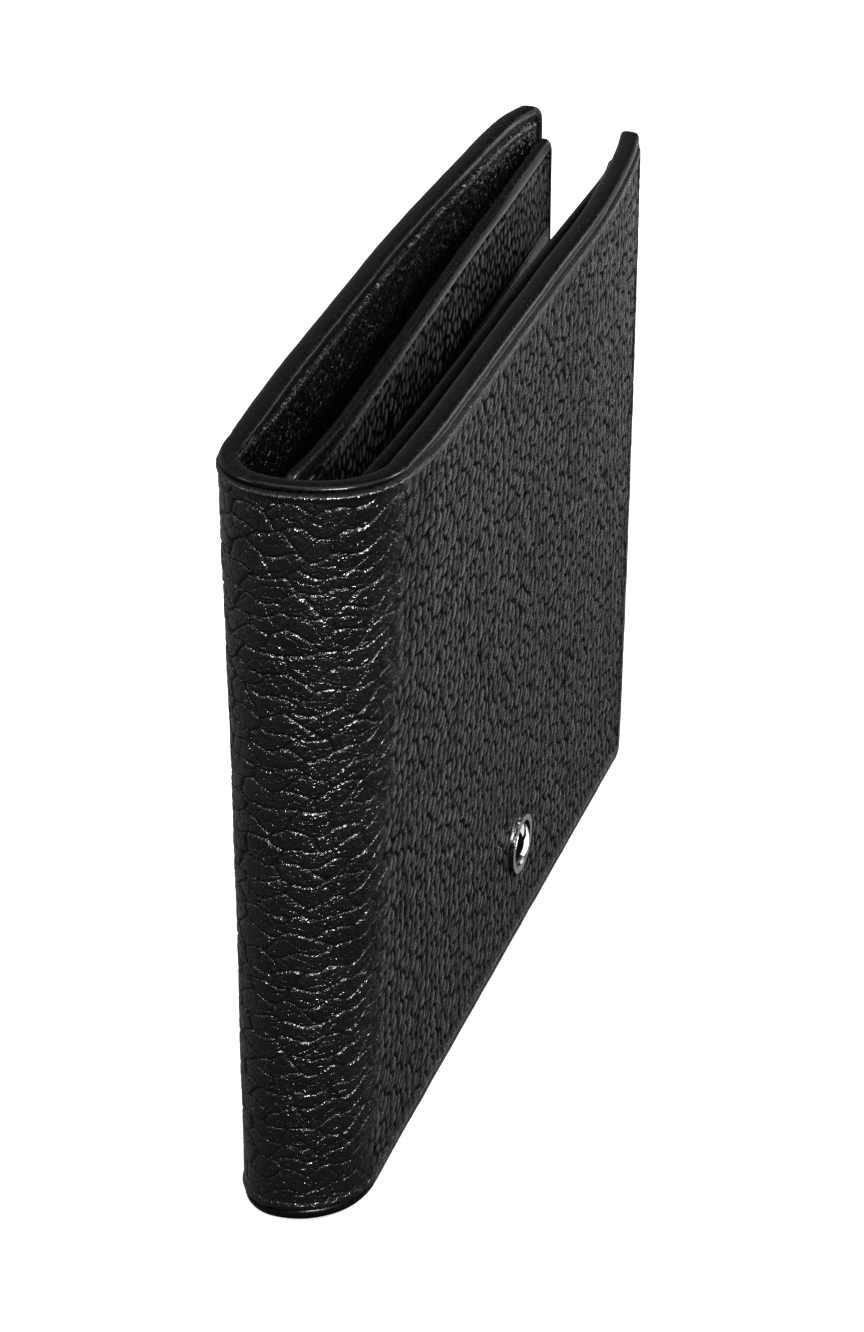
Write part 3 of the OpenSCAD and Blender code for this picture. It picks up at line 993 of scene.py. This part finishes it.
def stitch_row(name, places):
    """places: (centre, along, out) for each stitch."""
    pts, tris, uvs = [], [], []
    count = 0
    for centre, along, out in places:
        p, t = spindle(centre, along, out, unit(np.cross(along, out)), 2.25, 0.52, 0.24)
        t = outward(p - p.mean(0), t)
        pts.append(p)
        tris.append(t + count)
        uvs.append(np.stack([p[:, 0], p[:, 2]], -1))
        count += len(p)
    return make(name, np.concatenate(pts), np.concatenate(tris), np.concatenate(uvs))


CARD_DEPTH = 49  # how deep a card goes into its slot


def inset_box(node):
    lo, hi = node_box(node)
    return lo[0], hi[0], lo[2], hi[2]


for side in ("back", "front"):
    body = f"{side}_half"
    toward = -1.0 if side == "back" else 1.0
    x0, x1 = LEAF_X0, LEAF_X1 + 0.5
    skin_x1 = x1 - BAND * 0.62
    band_z = LEAF_Z1 - BAND
    # the lining face of the leaf, a fabric sheet, and its leather face
    xs, zs = steps(x0, skin_x1 + 0.1, 0.9), steps(LEAF_Z0, band_z + 0.2, 0.9)
    piece = slab(f"{side}_leaf_fabric", xs, zs, leaf_sheet(side, 0.0), leaf_sheet(side, 0.6), side == "front", 1)
    finish(piece, FABRIC, "fabric_lining", f"{side}_leaf_lining")
    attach(piece, body)
    xs, zs = edge_rows(x0, skin_x1, 0.33), edge_rows(LEAF_Z0, band_z, 0.33)
    piece = slab(f"{side}_leaf_skin", xs, zs, leaf_front(side, x0, skin_x1, LEAF_Z0, band_z, LEAF_T),
                 leaf_sheet(side, 0.65), side == "back", 6, leaf_crest_shade)
    finish(piece, SLOT_LEATHER, "grain_leather", f"{side}_leaf_leather")
    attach(piece, body)
    reach = 4.0 if side == "back" else 1.5
    piece = leaf_band(f"{side}_leaf_band", side, x0 - reach, x1, LEAF_Z0, LEAF_Z1, -0.06, LEAF_T + 0.12)
    finish(piece, EDGE, "edge_coat", f"{side}_leaf_edge")
    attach(piece, body)
    # the hem at the bottom, between leaf and cover
    def hem_near(x, z):
        return leaf_point(side, x, z, -0.02 + 0 * x)

    def hem_far(x, z):
        p = leaf_point(side, x, z, 0 * x)
        y = cover_inside_y(side, x, z)
        y = y + 0.12 if side == "back" else y - 0.12
        return np.stack([p[..., 0], y, p[..., 2]], -1)

    piece = slab(f"{side}_leaf_floor", steps(x0, x1 - 1, 1.0), steps(LEAF_Z0, HEM_TOP, 0.3), hem_near, hem_far,
                 side == "back", 1)
    finish(piece, PLAIN_LEATHER, "grain_leather", f"{side}_leaf_hem")
    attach(piece, body)
    # card slots
    for n in (1, 2, 3):
        sx0, sx1, sz0, sz1 = inset_box(f"{side}_card_slot_{n}")
        sx1 = min(sx1, skin_x1 - 0.7)
        xs, zs = edge_rows(sx0, sx1, 0.5), edge_rows(sz0, sz1, 0.34)
        # the slot's painted shade: the leaf's mask at half strength
        piece = slab(f"{side}_slot_{n}", xs, zs, slot_face(side, n, sx0, sx1, sz0, sz1),
                     slot_sheet(side, n, sx0, sx1), side == "back", 2,
                     lambda x, z: leaf_crest_shade(x + 37 * n, z) * 0.5 + 0.5)
        finish(piece, SLOT_LEATHER, "grain_leather", f"{side}_card_slot_{n}")
        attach(piece, body)
        if n < 3:
            tz0 = sz1 - CARD_DEPTH
            piece = slab(f"{side}_slot_tail_{n}", steps(sx0, sx1, 2), steps(tz0, sz0, 2),
                         slot_sheet(side, n, sx0, sx1, 0.22), slot_sheet(side, n, sx0, sx1, 0.04), side == "back", 1)
            finish(piece, FABRIC, "fabric_lining", f"{side}_slot_linings")
            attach(piece, body)
    # stitches along the bottom and the free side
    sx0, sx1, sz0, sz1 = inset_box(f"{side}_card_slot_3")
    sx1 = min(sx1, skin_x1 - 0.7)
    face = slot_face(side, 3, sx0, sx1, sz0, sz1)
    places = []
    out = np.array([0, toward, 0.0])

    def put(x, z, upright):
        e = 0.4
        c = face(np.array(x), np.array(z))
        ends = [face(np.array(x - (0 if upright else e)), np.array(z - (e if upright else 0))),
                face(np.array(x + (0 if upright else e)), np.array(z + (e if upright else 0)))]
        places.append((c, unit(ends[1] - ends[0]), out))

    for x in np.arange(sx0 + 3, sx1 - 4, 3.0):
        put(x, sz0 + 2.6, False)
    for z in np.arange(sz0 + 5, sz1 - 1.5, 3.0):
        put(sx1 - 2.4, z, True)
        put(sx0 + 2.4, z, True)
    piece = stitch_row(f"{side}_leaf_thread", places)
    finish(piece, THREAD, "thread", f"{side}_leaf_stitching")
    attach(piece, body)

# ---------------------------------------------------------------- floor, light and camera
def floor():
    size, n = 14.0, 3
    xs = np.linspace(-size, size, n) * 1000
    gu, gz = np.meshgrid(xs, xs, indexing="ij")
    pts = np.stack([gu, gz, np.full(gu.shape, -0.02)], -1).reshape(-1, 3)
    obj = make("floor", pts, grid_faces(n, n), np.stack([gu, gz], -1).reshape(-1, 2))
    mat, tree, bsdf = material("floor")
    noise = add(tree, "ShaderNodeTexNoise")
    noise.inputs["Scale"].default_value = 3
    tree.links.new(coordinates(tree, (1, 1, 1), False), noise.inputs["Vector"])
    colour = ramp(tree, noise.outputs[0], [(0, (0.90, 0.90, 0.90)), (1, (0.92, 0.92, 0.92))])
    tree.links.new(colour, bsdf.inputs["Base Color"])
    bsdf.inputs["Roughness"].default_value = 0.9
    bsdf.inputs["Specular IOR Level"].default_value = 0.1
    bsdf.inputs["Emission Color"].default_value = (1, 1, 1, 1)
    bsdf.inputs["Emission Strength"].default_value = 0.8
    obj.data.materials.append(mat)
    obj.visible_glossy = False
    obj.visible_diffuse = False
    obj.visible_shadow = False


floor()

world = bpy.data.worlds.new("world")
bpy.context.scene.world = world
world.use_nodes = True


# each glow: its direction, where it starts, where it is full (as cosines), and its strength
GLOWS = (((0.86, -0.20, -0.47), 0.76, 0.985, 0.23), ((0.86, 0.14, -0.49), 0.945, 0.99, 1.0),
         ((0.82, 0.53, -0.20), 0.68, 0.97, 0.22), ((0.0, 0.98, -0.20), 0.35, 0.95, 0.20))


def sky(tree):
    """A dim studio: dark on the spine's side, a pale table's glow low down on the far side."""
    ground = tree.nodes["Background"]
    ground.inputs[0].default_value = (1, 1, 1, 1)
    way = add(tree, "ShaderNodeTexCoord")
    total = None
    for direction, low, high, strength in GLOWS:
        dot = add(tree, "ShaderNodeVectorMath", operation="DOT_PRODUCT")
        dot.inputs[1].default_value = direction
        tree.links.new(way.outputs["Generated"], dot.inputs[0])
        shade = add(tree, "ShaderNodeMapRange")
        shade.inputs["From Min"].default_value = low
        shade.inputs["From Max"].default_value = high
        shade.inputs["To Min"].default_value = 0.004
        shade.inputs["To Max"].default_value = strength
        tree.links.new(dot.outputs["Value"], shade.inputs["Value"])
        if total is not None:
            both = add(tree, "ShaderNodeMath", operation="ADD")
            tree.links.new(total, both.inputs[0])
            tree.links.new(shade.outputs[0], both.inputs[1])
            total = both.outputs[0]
        else:
            total = shade.outputs[0]
    tree.links.new(total, ground.inputs[1])


sky(world.node_tree)

MIDDLE = Vector((np.array(CAD_BOX[0]) + np.array(CAD_BOX[1])) / 2)


def lamp(name, azimuth, elevation, distance, size, energy, size_y=None, aim=MIDDLE):
    data = bpy.data.lights.new(name, "AREA")
    data.shape = "RECTANGLE"
    data.size, data.size_y = size, size_y or size
    data.energy = energy
    obj = bpy.data.objects.new(name, data)
    bpy.context.scene.collection.objects.link(obj)
    a, e = math.radians(azimuth), math.radians(elevation)
    place = Vector((math.sin(a) * math.cos(e), -math.cos(a) * math.cos(e), math.sin(e))) * distance
    obj.location = aim + place
    obj.rotation_euler = place.to_track_quat("Z", "Y").to_euler()
    return obj


lamp("overhead", 0, 88, 1.6, 1.6, 18)
spine_glint = lamp("spine_glint", -50, 42, 0.8, 0.13, 25.0, 0.13)
lamp("table_glow", 50, 3, 0.8, 0.5, 1.1, 0.25)
lamp("cover_side", 36, 36, 1.1, 0.22, 9.0, 0.22)
lamp("far_side", 150, 40, 1.2, 0.8, 0.5)
emblem_middle = Vector((EMBLEM_LO + EMBLEM_HI) / 2) * MM
emblem_glint = lamp("emblem_glint", 55, -29, 0.5, 0.34, 2.2, 0.26, emblem_middle)


def shine_only_on(light, mats):
    """Keep a small lamp's light to the pieces of a few materials."""
    group = bpy.data.collections.new("lit_by_" + light.name)
    for obj in sorted(bpy.context.scene.objects, key=lambda o: o.name):
        if obj.type == "MESH" and obj.data.materials and obj.data.materials[0] in mats:
            group.objects.link(obj)
    light.light_linking.receiver_collection = group


shine_only_on(spine_glint, (GRAIN, EDGE, CHROME, DARK_CHROME))
shine_only_on(emblem_glint, (DARK_CHROME,))
lamp("back_fill", 208, 36, 1.1, 0.35, 4.0, 0.35)

# the camera stands at the spine's side and looks a little down
LOOK = Vector((-7.63, -0.72, 47.5)) * MM
ELEV, AZIM, ROLL, DIST = math.radians(29.183), math.radians(-71.706), math.radians(1.26), 0.3673
back = Vector((math.sin(AZIM) * math.cos(ELEV), -math.cos(AZIM) * math.cos(ELEV), math.sin(ELEV)))
right = Vector((math.cos(AZIM), math.sin(AZIM), 0))
up = back.cross(right)
rolled_right = right * math.cos(ROLL) + up * math.sin(ROLL)
rolled_up = -right * math.sin(ROLL) + up * math.cos(ROLL)
cam_data = bpy.data.cameras.new("camera")
cam_data.sensor_fit = "VERTICAL"
cam_data.sensor_height = 36
cam_data.lens = 36 * 3000 / 1332
cam_data.clip_start = 0.01
camera = bpy.data.objects.new("camera", cam_data)
bpy.context.scene.collection.objects.link(camera)
rotation = Matrix((rolled_right, rolled_up, back)).transposed()
camera.matrix_world = Matrix.Translation(LOOK + back * DIST) @ rotation.to_4x4()
bpy.context.scene.camera = camera
bpy.context.scene.view_settings.view_transform = "Standard"
